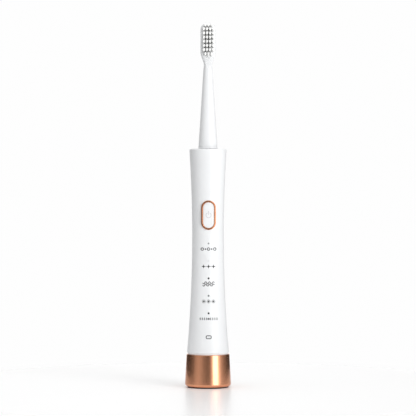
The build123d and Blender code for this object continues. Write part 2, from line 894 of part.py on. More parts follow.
# Controller, motor driver, charger and passives: drop below the switch, side, width, height and depth.
# Those at the sides reach out as far as the frame does.
board_parts = (
    (9.0, 0, 5.0, 5.0, 0.8),
    (9.5, 1, 1.6, 2.6, 0.8),
    (9.5, -1, 1.6, 2.6, 0.8),
    (24.0, 1, 2.8, 3.0, 0.8),
    (27.5, -1, 2.8, 4.0, 0.8),
    (36.0, 1, 1.6, 0.8, 0.6),
    (38.0, 1, 1.6, 0.8, 0.6),
    (45.0, -1, 2.5, 2.8, 1.0),
    (52.0, 1, 2.5, 2.6, 1.0),
)
with BuildPart() as board_chips:
    for drop, side, width, height, depth in board_parts:
        reach = math.sqrt(frame_radius**2 - (board_front + depth) ** 2)
        x = side * (reach - width / 2)
        extrude(front_rectangle(board_front, button_level - drop, width, height, x), amount=depth)
board_chips.part.label = "board_chips"
export_step(board_chips.part, "parts/board_chips.step")

with BuildPart() as mode_leds:
    for level in mode_levels + [battery_light_level]:
        extrude(front_rectangle(board_front, level, led_width, led_height), amount=led_depth)
mode_leds.part.label = "mode_leds"
export_step(mode_leds.part, "parts/mode_leds.step")

baffle_foot = battery_light_level - baffle_end
baffle_top = mode_levels[0] + baffle_end
with BuildPart() as led_baffle:
    extrude(
        front_rectangle(
            board_front,
            (baffle_foot + baffle_top) / 2,
            baffle_width,
            baffle_top - baffle_foot,
        ),
        amount=baffle_front - board_front,
    )
    for level in mode_levels + [battery_light_level]:
        extrude(front_disc(board_front, level, baffle_bore), amount=baffle_front, mode=Mode.SUBTRACT)
led_baffle.part.label = "led_baffle"
export_step(led_baffle.part, "parts/led_baffle.step")

with BuildPart() as tact_switch:
    extrude(front_rectangle(board_front, button_level, switch_size, switch_size), amount=switch_height)
    extrude(
        front_disc(switch_front, button_level, plunger_radius + running_gap),
        amount=-plunger_root - button_travel - glue_gap,
        mode=Mode.SUBTRACT,
    )
tact_switch.part.label = "tact_switch"
export_step(tact_switch.part, "parts/tact_switch.step")

with BuildPart() as switch_plunger:
    extrude(
        front_disc(switch_front - plunger_root, button_level, plunger_radius),
        amount=plunger_root + plunger_height,
    )
switch_plunger.part.label = "switch_plunger"
export_step(switch_plunger.part, "parts/switch_plunger.step")

# ================================================================ motor and shaft
can_foot = motor_foot + motor_cap_thickness
can_top = motor_top - motor_cap_thickness
with BuildPart() as motor_can:
    revolve(ring_section(motor_radius - motor_can_wall, motor_radius, can_foot, can_top), axis=Axis.Z)
motor_can.part.label = "motor_can"
export_step(motor_can.part, "parts/motor_can.step")

bearing_seat = bearing_radius + glue_gap
with BuildPart() as motor_rear_cap:
    revolve(ring_section(0, motor_radius, motor_foot, can_foot), axis=Axis.Z)
    revolve(
        ring_section(0, bearing_seat, can_foot - bearing_length, can_foot),
        axis=Axis.Z,
        mode=Mode.SUBTRACT,
    )
motor_rear_cap.part.label = "motor_rear_cap"
export_step(motor_rear_cap.part, "parts/motor_rear_cap.step")

with BuildPart() as motor_front_cap:
    revolve(ring_section(journal_radius + drop_gap, motor_radius, can_top, motor_top), axis=Axis.Z)
    revolve(
        ring_section(0, bearing_seat, can_top, can_top + bearing_length),
        axis=Axis.Z,
        mode=Mode.SUBTRACT,
    )
motor_front_cap.part.label = "motor_front_cap"
export_step(motor_front_cap.part, "parts/motor_front_cap.step")

journal_bore = journal_radius + running_gap
with BuildPart() as rear_bearing:
    revolve(
        ring_section(journal_bore, bearing_radius, can_foot - bearing_length, can_foot),
        axis=Axis.Z,
    )
rear_bearing.part.label = "rear_bearing"
export_step(rear_bearing.part, "parts/rear_bearing.step")

with BuildPart() as front_bearing:
    revolve(ring_section(journal_bore, bearing_radius, can_top, can_top + bearing_length), axis=Axis.Z)
front_bearing.part.label = "front_bearing"
export_step(front_bearing.part, "parts/front_bearing.step")

yoke_radius = motor_radius - motor_can_wall - glue_gap
yoke_bore = yoke_radius - yoke_wall
stator_foot = motor_middle - stator_length / 2
pole_tip_outside = pole_tip_radius + pole_tip_thickness
with BuildPart() as stator_core:
    with BuildSketch(Plane.XY.offset(stator_foot)):
        Circle(pole_tip_outside)
        Circle(pole_tip_radius, mode=Mode.SUBTRACT)
        Rectangle(pole_tip_gap, 2 * pole_tip_outside, mode=Mode.SUBTRACT)
    extrude(amount=stator_length)
    with BuildSketch(Plane.XY.offset(stator_foot)):
        Circle(yoke_radius)
        Circle(yoke_bore, mode=Mode.SUBTRACT)
        pole_start = pole_tip_radius + pole_tip_thickness / 2
        with Locations(((pole_start + yoke_radius - yoke_wall / 2) / 2, 0)):
            Rectangle(yoke_radius - yoke_wall / 2 - pole_start, pole_width)
        with Locations((-(pole_start + yoke_radius - yoke_wall / 2) / 2, 0)):
            Rectangle(yoke_radius - yoke_wall / 2 - pole_start, pole_width)
    extrude(amount=stator_length)
stator_core.part.label = "stator_core"
export_step(stator_core.part, "parts/stator_core.step")

winding_width = pole_width + 2 * winding_thickness
winding_inside = pole_tip_outside + glue_gap
winding_outside = math.sqrt(yoke_bore**2 - (winding_width / 2) ** 2) - glue_gap
with BuildPart() as stator_coils:
    for side in (-1, 1):
        with BuildSketch(Plane.YZ.offset(side * winding_inside)):
            with Locations((0, motor_middle)):
                RectangleRounded(winding_width, stator_length + 2 * winding_thickness, winding_thickness)
                Rectangle(
                    pole_width + 2 * glue_gap,
                    stator_length + 2 * glue_gap,
                    mode=Mode.SUBTRACT,
                )
        extrude(amount=side * (winding_outside - winding_inside))
stator_coils.part.label = "stator_coils"
export_step(stator_coils.part, "parts/stator_coils.step")

with BuildPart() as motor_leads:
    for x in (-motor_lead_x, motor_lead_x):
        with BuildLine(Plane.YZ.offset(x)):
            FilletPolyline(
                (motor_lead_y, motor_foot),
                (motor_lead_y, motor_foot - motor_lead_drop),
                (-board_back, motor_foot - motor_lead_drop),
                radius=motor_lead_bend,
            )
        with BuildSketch(Plane.XY.offset(motor_foot)):
            with Locations((x, motor_lead_y)):
                Circle(motor_lead_radius)
        sweep()
motor_leads.part.label = "motor_leads"
export_step(motor_leads.part, "parts/motor_leads.step")

cushion_foot = motor_top - cushion_drop - cushion_height
with BuildPart() as motor_cushion:
    revolve(
        flared_section(shell_wall + glue_gap, cushion_foot, cushion_foot + cushion_height),
        axis=Axis.Z,
    )
    revolve(
        ring_section(0, frame_radius + glue_gap, cushion_foot, cushion_foot + cushion_height),
        axis=Axis.Z,
        mode=Mode.SUBTRACT,
    )
motor_cushion.part.label = "motor_cushion"
export_step(motor_cushion.part, "parts/motor_cushion.step")

shaft_bore = shaft_radius + running_gap
with BuildPart() as nose_seal:
    revolve(ring_section(shaft_bore, seal_flange_radius, motor_top, shell_top - shell_roof), axis=Axis.Z)
    revolve(ring_section(shaft_bore, seal_tube_radius, motor_top, shell_top - slip_gap), axis=Axis.Z)
nose_seal.part.label = "nose_seal"
export_step(nose_seal.part, "parts/nose_seal.step")

shaft_shoulder = motor_top + drop_gap
with BuildPart() as drive_shaft:
    revolve(
        ring_section(0, journal_radius, can_foot - bearing_length + slip_gap, shaft_shoulder),
        axis=Axis.Z,
    )
    revolve(ring_section(0, shaft_radius, shaft_shoulder, shaft_top), axis=Axis.Z)
    chamfer(drive_shaft.edges().group_by(Axis.Z)[-1], shaft_chamfer)
    with BuildSketch(Plane.XY.offset(shaft_top - shaft_flat_length)):
        with Locations((0, shaft_flat)):
            Rectangle(2 * shaft_radius, shaft_radius, align=(Align.CENTER, Align.MIN))
    extrude(amount=shaft_flat_length, mode=Mode.SUBTRACT)
drive_shaft.part.label = "drive_shaft"
export_step(drive_shaft.part, "parts/drive_shaft.step")

rotor_foot = motor_middle - rotor_length / 2
with BuildPart() as rotor_hub:
    revolve(
        ring_section(journal_radius + glue_gap, rotor_hub_radius, rotor_foot, rotor_foot + rotor_length),
        axis=Axis.Z,
    )
rotor_hub.part.label = "rotor_hub"
export_step(rotor_hub.part, "parts/rotor_hub.step")

with BuildPart() as rotor_magnets:
    with BuildSketch(Plane.XY.offset(rotor_foot)):
        Circle(magnet_radius)
        Circle(rotor_hub_radius + glue_gap, mode=Mode.SUBTRACT)
        Rectangle(magnet_gap, 2 * magnet_radius, mode=Mode.SUBTRACT)
    extrude(amount=rotor_length)
rotor_magnets.part.label = "rotor_magnets"
export_step(rotor_magnets.part, "parts/rotor_magnets.step")

# ================================================================ brush head
with BuildPart() as neck_ring:
    revolve(neck_section(0, neck_foot, neck_ring_top), axis=Axis.Z)
    revolve(
        neck_section(neck_wall + glue_gap, neck_ring_top, neck_ring_top + neck_ring_spigot),
        axis=Axis.Z,
    )
    revolve(
        neck_section(neck_wall + neck_ring_wall, neck_foot, neck_ring_top + neck_ring_spigot),
        axis=Axis.Z,
        mode=Mode.SUBTRACT,
    )
neck_ring.part.label = "neck_ring"
export_step(neck_ring.part, "parts/neck_ring.step")

# Each tuft's place on the plate's front: x and height
tuft_places = [
    ((column - (count - 1) / 2) * tuft_pitch_x, head_top - tuft_top_margin - row * tuft_pitch_z)
    for row, count in enumerate(tuft_rows)
    for column in range(count)
]
# Sections from the neck's tip to the plate: rise, width and rounding
head_rise = plate_foot - neck_tip
head_sections = (
    (0, 2 * neck_tip_radius, neck_tip_radius - glue_gap),
    (throat_rise, 2 * neck_tip_radius, throat_rounding),
    (shoulder_rise, shoulder_width, shoulder_rounding),
    (head_rise, plate_width, plate_rounding),
)
with BuildPart() as neck_shell:
    with BuildSketch(Plane.XZ.offset(plate_front)) as plate_outline:
        with Locations((0, head_top - plate_length / 2)):
            Rectangle(plate_width, plate_length)
        fillet(plate_outline.vertices().group_by(Axis.Y)[-1], plate_corner)
    extrude(amount=-plate_front - plate_back)
    for face in (neck_shell.faces().sort_by(Axis.Y)[0], neck_shell.faces().sort_by(Axis.Y)[-1]):
        fillet(face.edges().sort_by(Axis.Z)[1:], plate_rounding)
    for rise, width, rounding in head_sections:
        front = neck_tip_radius + (plate_front - neck_tip_radius) * rise / head_rise
        back = neck_tip_radius + (plate_back - neck_tip_radius) * rise / head_rise
        with BuildSketch(Plane.XY.offset(neck_tip + rise)):
            with Locations((0, (back - front) / 2)):
                RectangleRounded(width, front + back, rounding)
    loft()
    revolve(neck_section(0, neck_ring_top + slip_gap, neck_tip), axis=Axis.Z)
    facet_front = neck_radius(facet_foot)
    with BuildSketch(Plane.YZ.offset(-plate_width)):
        with BuildLine():
            Polyline(
                (-plate_front, plate_foot),
                (-plate_front, facet_top),
                (-facet_front, facet_foot),
                (plate_front - 2 * facet_front, facet_foot - facet_ramp),
                (plate_front - 2 * facet_front, plate_foot),
                close=True,
            )
        make_face()
    extrude(amount=2 * plate_width, mode=Mode.SUBTRACT)
    revolve(neck_section(neck_wall, neck_ring_top, socket_top), axis=Axis.Z, mode=Mode.SUBTRACT)
    with BuildSketch(Plane.XZ.offset(plate_front - tuft_hole_depth)):
        with Locations(*tuft_places):
            SlotOverall(tuft_height + 2 * tuft_gap, tuft_width + 2 * tuft_gap, rotation=90)
    extrude(amount=tuft_hole_depth + tuft_length, mode=Mode.SUBTRACT)
neck_shell.part.label = "neck_shell"
export_step(neck_shell.part, "parts/neck_shell.step")

flat_face = shaft_flat + glue_gap
clip_level = shaft_top - clip_drop
clip_depth = clip_bow + clip_thickness
with BuildPart() as shaft_socket:
    revolve(neck_section(neck_wall + glue_gap, socket_foot, socket_top), axis=Axis.Z)
    with BuildSketch(Plane.XY.offset(socket_foot)):
        Circle(shaft_bore)
    extrude(amount=shaft_top - shaft_flat_length + slip_gap - socket_foot, mode=Mode.SUBTRACT)
    with BuildSketch(Plane.XY.offset(shaft_top - shaft_flat_length)):
        Circle(shaft_bore)
        with Locations((0, flat_face)):
            Rectangle(2 * shaft_bore, shaft_bore, align=(Align.CENTER, Align.MIN), mode=Mode.SUBTRACT)
    extrude(amount=shaft_flat_length + slip_gap, mode=Mode.SUBTRACT)
    with BuildSketch(Plane.XY.offset(clip_level - clip_length / 2 - slip_gap)):
        Rectangle(
            clip_width + 2 * slip_gap,
            flat_face + clip_depth + slip_gap,
            align=(Align.CENTER, Align.MIN),
        )
    extrude(amount=clip_length + 2 * slip_gap, mode=Mode.SUBTRACT)
shaft_socket.part.label = "shaft_socket"
export_step(shaft_socket.part, "parts/shaft_socket.step")

clip_low = clip_level - clip_length / 2
clip_high = clip_level + clip_length / 2
with BuildPart() as grip_spring:
    with BuildSketch(Plane.YZ.offset(-clip_width / 2)):
        with BuildLine():
            ThreePointArc(
                (flat_face + clip_bow, clip_low),
                (flat_face, clip_level),
                (flat_face + clip_bow, clip_high),
            )
            Line((flat_face + clip_bow, clip_high), (flat_face + clip_depth, clip_high))
            ThreePointArc(
                (flat_face + clip_depth, clip_high),
                (flat_face + clip_thickness, clip_level),
                (flat_face + clip_depth, clip_low),
            )
            Line((flat_face + clip_depth, clip_low), (flat_face + clip_bow, clip_low))
        make_face()
    extrude(amount=clip_width)
grip_spring.part.label = "grip_spring"
export_step(grip_spring.part, "parts/grip_spring.step")

tuft_root = tuft_hole_depth - anchor_height - glue_gap
tuft_flare = math.degrees(math.atan(tuft_spread / tuft_length))
with BuildPart() as bristle_tufts:
    with BuildSketch(Plane.XZ.offset(plate_front - tuft_root)):
        with Locations(*tuft_places):
            SlotOverall(tuft_height, tuft_width, rotation=90)
    extrude(amount=tuft_root)
    with BuildSketch(Plane.XZ.offset(plate_front)):
        with Locations(*tuft_places):
            SlotOverall(tuft_height, tuft_width, rotation=90)
    extrude(amount=tuft_length, taper=-tuft_flare)
bristle_tufts.part.label = "bristle_tufts"
export_step(bristle_tufts.part, "parts/bristle_tufts.step")

with BuildPart() as tuft_anchors:
    with BuildSketch(Plane.XZ.offset(plate_front - tuft_hole_depth)):
        with Locations(*tuft_places):
            Rectangle(anchor_thickness, anchor_length)
    extrude(amount=anchor_height)
tuft_anchors.part.label = "tuft_anchors"
export_step(tuft_anchors.part, "parts/tuft_anchors.step")
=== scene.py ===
import math
import random

import bmesh
import bpy
from bpy.props import FloatProperty, FloatVectorProperty, IntProperty, PointerProperty
from mathutils import Matrix, Vector
from mathutils.bvhtree import BVHTree


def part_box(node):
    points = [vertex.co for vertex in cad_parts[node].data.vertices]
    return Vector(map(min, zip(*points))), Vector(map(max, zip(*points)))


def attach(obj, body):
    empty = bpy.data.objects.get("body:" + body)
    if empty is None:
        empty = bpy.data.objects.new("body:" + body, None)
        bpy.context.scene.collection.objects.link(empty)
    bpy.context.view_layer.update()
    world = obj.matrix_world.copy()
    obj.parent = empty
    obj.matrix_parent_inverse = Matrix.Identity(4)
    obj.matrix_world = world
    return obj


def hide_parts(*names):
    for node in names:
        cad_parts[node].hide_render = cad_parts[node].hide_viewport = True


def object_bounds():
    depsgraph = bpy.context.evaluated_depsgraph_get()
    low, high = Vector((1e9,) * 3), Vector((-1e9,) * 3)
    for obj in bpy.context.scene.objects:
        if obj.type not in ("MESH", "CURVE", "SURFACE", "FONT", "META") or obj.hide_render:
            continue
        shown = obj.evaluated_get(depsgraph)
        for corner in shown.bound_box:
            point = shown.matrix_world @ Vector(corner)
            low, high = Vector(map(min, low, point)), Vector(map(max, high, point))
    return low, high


# Finishes, bristles, printed marks and studio for a sonic toothbrush standing in its charging base.
# Everything is in metres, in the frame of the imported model: +Z up, front towards -Y.

bl_info = {
    "name": "Toothbrush on Charger",
    "version": (1, 0, 0),
    "blender": (4, 5, 0),
    "location": "View3D > Sidebar > Toothbrush",
    "description": "Bristles, printed marks, finishes and studio for an electric toothbrush on its charger",
    "category": "Object",
}

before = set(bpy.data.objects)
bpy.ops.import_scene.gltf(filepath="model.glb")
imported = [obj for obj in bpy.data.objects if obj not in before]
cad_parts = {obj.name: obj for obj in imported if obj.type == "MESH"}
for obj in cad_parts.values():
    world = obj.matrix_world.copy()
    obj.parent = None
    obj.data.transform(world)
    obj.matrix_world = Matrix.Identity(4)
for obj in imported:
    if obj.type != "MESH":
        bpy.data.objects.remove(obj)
cad_low, cad_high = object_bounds()

MM = 0.001

# Places taken from the frame
tufts_low, tufts_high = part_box("bristle_tufts")
lights_low, lights_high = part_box("mode_windows")
battery_low, battery_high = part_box("battery_window")
ring_low, ring_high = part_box("button_ring")
tongue_low, tongue_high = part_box("usb_tongue")
socket_low, socket_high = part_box("usb_shell")

TUFT_ROWS = (3, 4, 4, 4, 4, 4, 4, 3)  # from the head's top down
CORE_SIDE = 0.3  # how far a tuft's core reaches past its outer filaments' middles at the tips, in radii
CORE_END = 0.8  # the same at the oval's top and bottom
LIGHT_COUNT = 5
LONGEST_INK_EDGE = 0.3 * MM  # so that the ink follows the curved surface
# pale and grey tints are the painted glow of lit and dimmed lights behind the windows; the near-black ones
# are the smoked windows' own colour
WINDOW_TINTS_AND_GLOW = (  # from the top light down, and last the battery light
    (0.33, 0.34, 0.35),
    (0.80, 0.81, 0.82),
    (0.004, 0.004, 0.005),
    (0.16, 0.165, 0.17),
    (0.004, 0.004, 0.005),
    (0.80, 0.81, 0.82),
)
# The studio's ring of panels: angle from the camera's side, towards the right, and brightness
STUDIO_PANELS = (
    (-180, 1.05),
    (-167, 0.95),
    (-152, 0.10),
    (-128, 0.06),
    (-108, 0.08),
    (-88, 0.18),
    (-68, 0.46),
    (-52, 0.60),
    (-38, 0.50),
    (-22, 0.30),
    (-6, 0.20),
    (6, 0.22),
    (18, 0.80),
    (30, 4.30),
    (44, 4.30),
    (58, 1.20),
    (74, 0.50),
    (92, 0.28),
    (114, 0.12),
    (136, 0.03),
    (152, 0.10),
    (167, 0.95),
    (180, 1.05),
)


# ---------------------------------------------------------------- sizes and colours
class BristleSettings(bpy.types.PropertyGroup):
    """Sizes of the nylon tufts"""

    filaments: IntProperty(
        name="Filaments",
        description="Nylon filaments in each tuft",
        default=58,
        min=7,
        max=80,
    )
    filament_radius: FloatProperty(
        name="Filament Radius",
        description="Radius of one filament",
        default=0.1 * MM,
        unit="LENGTH",
        precision=6,
    )
    tuft_width: FloatProperty(
        name="Tuft Width",
        description="Width of an oval tuft at its tips",
        default=1.56 * MM,
        unit="LENGTH",
        precision=6,
    )
    tuft_height: FloatProperty(
        name="Tuft Height",
        description="Height of an oval tuft at its tips",
        default=2.08 * MM,
        unit="LENGTH",
        precision=6,
    )
    spread: FloatProperty(
        name="Spread",
        description="How much wider a tuft is at its tips than at its root, as a share",
        default=0.06,
        min=0.0,
    )
    core_length: FloatProperty(
        name="Core Length",
        description="Length of the solid core that nearly fills a tuft, leaving only the filaments' tips",
        default=tufts_high.y - tufts_low.y - 0.03 * MM,
        unit="LENGTH",
        precision=6,
    )
    unevenness: FloatProperty(
        name="Unevenness",
        description="How much the filaments differ in length",
        default=0.03 * MM,
        unit="LENGTH",
        precision=6,
    )
    lean: FloatProperty(
        name="Lean",
        description="How far a filament's tip strays sideways",
        default=0.01 * MM,
        unit="LENGTH",
        precision=6,
    )
    seed: IntProperty(
        name="Seed",
        description="Start of the random lengths and leans",
        default=7,
    )


class MarkSettings(bpy.types.PropertyGroup):
    """Sizes and colour of the printed marks"""

    ink: FloatVectorProperty(
        name="Ink",
        description="Colour of the marks printed on the handle",
        subtype="COLOR",
        default=(0.035, 0.036, 0.038),
        min=0.0,
        max=1.0,
    )
    button_ink: FloatVectorProperty(
        name="Button Ink",
        description="Colour of the power mark on the button",
        subtype="COLOR",
        default=(0.62, 0.62, 0.63),
        min=0.0,
        max=1.0,
    )
    stroke: FloatProperty(
        name="Stroke",
        description="Width of a printed line",
        default=0.52 * MM,
        unit="LENGTH",
        precision=6,
    )
    ink_height: FloatProperty(
        name="Ink Height",
        description="How far the ink stands above the surface",
        default=0.02 * MM,
        unit="LENGTH",
        precision=6,
    )
    drop: FloatProperty(
        name="Drop",
        description="From the middle of a light down to the middle of its mark",
        default=3.8 * MM,
        unit="LENGTH",
        precision=6,
    )
    mark_size: FloatProperty(
        name="Mark Size",
        description="Height of each printed sign",
        default=2.6 * MM,
        unit="LENGTH",
        precision=6,
    )
    power_radius: FloatProperty(
        name="Power Mark Radius",
        description="Radius of the power mark's open ring",
        default=1.75 * MM,
        unit="LENGTH",
        precision=6,
    )


class FinishSettings(bpy.types.PropertyGroup):
    """Colours of the outer finishes"""

    shell: FloatVectorProperty(
        name="Shell",
        description="Colour of the moulded white shell",
        subtype="COLOR",
        default=(0.83, 0.84, 0.85),
        min=0.0,
        max=1.0,
    )
    metal: FloatVectorProperty(
        name="Rose Gold",
        description="Colour of the satin metal sleeve and ring",
        subtype="COLOR",
        default=(0.79, 0.365, 0.21),
        min=0.0,
        max=1.0,
    )
    nylon: FloatVectorProperty(
        name="Nylon",
        description="Colour of the filaments",
        subtype="COLOR",
        default=(0.88, 0.88, 0.87),
        min=0.0,
        max=1.0,
    )


class StudioSettings(bpy.types.PropertyGroup):
    """Floor, light and camera"""

    floor_radius: FloatProperty(
        name="Floor Radius",
        description="Radius of the round white floor",
        default=0.2,
        unit="LENGTH",
    )
    light: FloatProperty(
        name="Light",
        description="Strength of the whole ring of panels",
        default=1.0,
        min=0.0,
    )
    fill: FloatProperty(
        name="Fill",
        description="Least brightness of the soft light from any side",
        default=0.38,
        min=0.0,
    )
    fill_side: FloatProperty(
        name="Fill Side",
        description="How much brighter the fill is on the left, and how much darker on the right",
        default=0.32,
        min=0.0,
    )
    key: FloatProperty(
        name="Key",
        description="Greatest brightness of the soft light from any side",
        default=2.1,
        min=0.0,
    )
    overhead: FloatProperty(
        name="Overhead",
        description="Brightness of the panel above the object",
        default=1.6,
        min=0.0,
    )
    distance: FloatProperty(
        name="Distance",
        description="From the camera to the object's axis",
        default=1.25,
        unit="LENGTH",
    )
    eye_level: FloatProperty(
        name="Eye Level",
        description="Height of the camera above the floor",
        default=0.123,
        unit="LENGTH",
    )
    turn: FloatProperty(
        name="Turn",
        description="How far the camera stands round towards the object's right side",
        default=math.radians(-2.0),
        unit="ROTATION",
    )
    view_width: FloatProperty(
        name="View Width",
        description="Width that the camera takes in at the object's axis",
        default=0.286,
        unit="LENGTH",
    )


# ---------------------------------------------------------------- finishes
def new_finish(name):
    """An empty material with its node tree and its surface shader."""
    finish = bpy.data.materials.new(name)
    finish.use_nodes = True
    return finish, finish.node_tree, finish.node_tree.nodes["Principled BSDF"]


def own_place(tree):
    """The piece's own coordinates, in metres."""
    return tree.nodes.new("ShaderNodeTexCoord").outputs["Object"]


def grain(tree, size, detail=3.0, stretch=(1, 1, 1)):
    """Noise with features of a size in metres, drawn out along the axes."""
    spread = tree.nodes.new("ShaderNodeMapping")
    spread.inputs["Scale"].default_value = stretch
    noise = tree.nodes.new("ShaderNodeTexNoise")
    noise.inputs["Scale"].default_value = 1 / size
    noise.inputs["Detail"].default_value = detail
    tree.links.new(own_place(tree), spread.inputs["Vector"])
    tree.links.new(spread.outputs["Vector"], noise.inputs["Vector"])
    return noise.outputs["Fac"]


def between(tree, factor, low, high, start=0.35, end=0.65):
    """A number that runs from low to high as the factor runs from start to end."""
    reach = tree.nodes.new("ShaderNodeMapRange")
    reach.inputs["From Min"].default_value = start
    reach.inputs["From Max"].default_value = end
    reach.inputs["To Min"].default_value = low
    reach.inputs["To Max"].default_value = high
    tree.links.new(factor, reach.inputs["Value"])
    return reach.outputs["Result"]


def tinted(tree, factor, first, second):
    """A colour that runs from the first to the second as the factor runs through its middle part."""
    mix = tree.nodes.new("ShaderNodeMix")
    mix.data_type = "RGBA"
    mix.inputs["A"].default_value = (*first, 1)
    mix.inputs["B"].default_value = (*second, 1)
    tree.links.new(between(tree, factor, 0.0, 1.0), mix.inputs["Factor"])
    return mix.outputs["Result"]


def emboss(tree, shader, height, depth):
    """Raises the surface by a height factor times a depth in metres."""
    bump = tree.nodes.new("ShaderNodeBump")
    bump.inputs["Strength"].default_value = 1.0
    bump.inputs["Distance"].default_value = depth
    tree.links.new(height, bump.inputs["Height"])
    tree.links.new(bump.outputs["Normal"], shader.inputs["Normal"])


def calculated(tree, operation, first, second):
    """The result of a sum on two numbers, the second of them a socket or a plain number."""
    sum_node = tree.nodes.new("ShaderNodeMath")
    sum_node.operation = operation
    tree.links.new(first, sum_node.inputs[0])
    if isinstance(second, float):
        sum_node.inputs[1].default_value = second
    else:
        tree.links.new(second, sum_node.inputs[1])
    return sum_node.outputs["Value"]


def shade(colour, amount):
    """The colour made lighter or darker."""
    return tuple(min(1.0, part * amount) for part in colour)


def worked_finish(name, colour, rough, cloud, grain_size, grain_depth, stretch=(1, 1, 1), **sockets):
    """A finish whose colour and roughness drift over its surface, with a fine grain.

    rough is its lowest and highest roughness, and cloud how much its colour varies.
    """
    finish, tree, shader = new_finish(name)
    drift = grain(tree, 9 * MM)
    fine = grain(tree, grain_size, 2.0, stretch)
    clouded = tinted(tree, drift, shade(colour, 1 - cloud), shade(colour, 1 + cloud))
    tree.links.new(clouded, shader.inputs["Base Color"])
    tree.links.new(between(tree, fine, *rough), shader.inputs["Roughness"])
    emboss(tree, shader, fine, grain_depth)
    for socket, value in sockets.items():
        shader.inputs[socket.replace("_", " ")].default_value = value
    return finish


def white_moulding(colour):
    """Glossy white plastic with the faint ripple of a polished mould."""
    return worked_finish("gloss_white_moulding", colour, (0.28, 0.34), 0.008, 1.6 * MM, 0.0012 * MM, IOR=1.47)


def rose_gold_satin(colour):
    """Satin rose-gold coating over blasted aluminium."""
    return worked_finish(
        "rose_gold_satin",
        colour,
        (0.15, 0.2),
        0.02,
        0.16 * MM,
        0.0005 * MM,
        Metallic=1.0,
    )


def wound_wire(name, colour, pitch):
    """Enamelled wire wound round Z at a pitch in metres, with painted shade in the grooves between turns and
    a painted highlight on each turn's crown.
    """
    finish, tree, shader = new_finish(name)
    turns_and_painted_shade = tree.nodes.new("ShaderNodeTexWave")
    turns_and_painted_shade.bands_direction = "Z"
    turns_and_painted_shade.inputs["Scale"].default_value = math.pi / (10 * pitch)
    tree.links.new(own_place(tree), turns_and_painted_shade.inputs["Vector"])
    # painted shade in the grooves between turns and a painted highlight along each turn's crown; the wave
    # also drives the real bump below
    tree.links.new(
        tinted(tree, turns_and_painted_shade.outputs["Fac"], shade(colour, 0.45), shade(colour, 1.15)),
        shader.inputs["Base Color"],
    )
    tree.links.new(between(tree, grain(tree, 1.5 * MM), 0.24, 0.36), shader.inputs["Roughness"])
    emboss(tree, shader, turns_and_painted_shade.outputs["Fac"], pitch / 3)
    shader.inputs["Metallic"].default_value = 1.0
    shader.inputs["Coat Weight"].default_value = 0.4
    return finish


def circuit_board(name, colour):
    """Green solder mask over copper tracks that run along the board."""
    finish, tree, shader = new_finish(name)
    tracks = tree.nodes.new("ShaderNodeTexBrick")
    tracks.inputs["Color1"].default_value = (*shade(colour, 1.25), 1)
    tracks.inputs["Color2"].default_value = (*shade(colour, 1.05), 1)
    tracks.inputs["Mortar"].default_value = (*shade(colour, 0.6), 1)
    tracks.inputs["Scale"].default_value = 1 / (1.6 * MM)
    tracks.inputs["Mortar Size"].default_value = 0.06
    tracks.inputs["Brick Width"].default_value = 0.45
    tracks.inputs["Row Height"].default_value = 2.6
    front = tree.nodes.new("ShaderNodeMapping")
    front.inputs["Rotation"].default_value = (math.radians(-90), 0, 0)
    tree.links.new(own_place(tree), front.inputs["Vector"])
    tree.links.new(front.outputs["Vector"], tracks.inputs["Vector"])
    tree.links.new(tracks.outputs["Color"], shader.inputs["Base Color"])
    tree.links.new(between(tree, grain(tree, 0.8 * MM), 0.28, 0.4), shader.inputs["Roughness"])
    emboss(tree, shader, tracks.outputs["Fac"], -0.03 * MM)
    shader.inputs["Coat Weight"].default_value = 0.3
    return finish


def inner_finishes():
    """The finish of each material slot that lies inside the housings or under the base."""
    return {
        "dark_rubber": worked_finish(
            "dark_rubber_skin", (0.028, 0.027, 0.026), (0.62, 0.8), 0.12, 0.25 * MM, 0.012 * MM
        ),
        "grey_rubber": worked_finish(
            "grey_silicone", (0.3, 0.3, 0.31), (0.5, 0.66), 0.06, 0.3 * MM, 0.006 * MM, Sheen_Weight=0.15
        ),
        "natural_plastic": worked_finish(
            "natural_nylon", (0.74, 0.735, 0.69), (0.42, 0.55), 0.03, 0.5 * MM, 0.006 * MM
        ),
        "black_plastic": worked_finish(
            "black_glass_filled", (0.03, 0.03, 0.031), (0.4, 0.6), 0.15, 0.35 * MM, 0.01 * MM, (1, 1, 0.3)
        ),
        "board_green": circuit_board("solder_mask", (0.02, 0.16, 0.07)),
        "chip_black": worked_finish(
            "moulded_package", (0.022, 0.022, 0.024), (0.45, 0.6), 0.1, 0.12 * MM, 0.006 * MM
        ),
        "led_white": worked_finish(
            "phosphor_cap", (0.84, 0.82, 0.6), (0.35, 0.5), 0.06, 0.2 * MM, 0.008 * MM
        ),
        "steel": worked_finish(
            "turned_steel",
            (0.58, 0.58, 0.57),
            (0.18, 0.34),
            0.05,
            0.12 * MM,
            0.0015 * MM,
            (0.2, 0.2, 1),
            Metallic=1.0,
        ),
        "motor_steel": worked_finish(
            "zinc_plated_steel",
            (0.52, 0.525, 0.54),
            (0.26, 0.4),
            0.07,
            0.4 * MM,
            0.003 * MM,
            (1, 1, 0.12),
            Metallic=1.0,
        ),
        "nickel": worked_finish(
            "nickel_plate", (0.66, 0.63, 0.57), (0.14, 0.24), 0.03, 0.3 * MM, 0.001 * MM, Metallic=1.0
        ),
        "bronze": worked_finish(
            "sintered_bronze", (0.55, 0.37, 0.17), (0.35, 0.55), 0.15, 0.1 * MM, 0.012 * MM, Metallic=1.0
        ),
        "copper_wire": wound_wire("enamelled_copper", (0.7, 0.3, 0.13), 0.32 * MM),
        "ferrite": worked_finish(
            "sintered_ferrite", (0.05, 0.05, 0.052), (0.5, 0.72), 0.15, 0.15 * MM, 0.01 * MM
        ),
        "magnet": worked_finish(
            "plated_magnet", (0.42, 0.42, 0.42), (0.2, 0.32), 0.05, 0.5 * MM, 0.002 * MM, Metallic=1.0
        ),
        "cell_wrap": worked_finish(
            "blue_shrink_sleeve",
            (0.05, 0.16, 0.4),
            (0.2, 0.32),
            0.05,
            2.5 * MM,
            0.03 * MM,
            (1, 1, 0.25),
            Coat_Weight=0.3,
        ),
    }


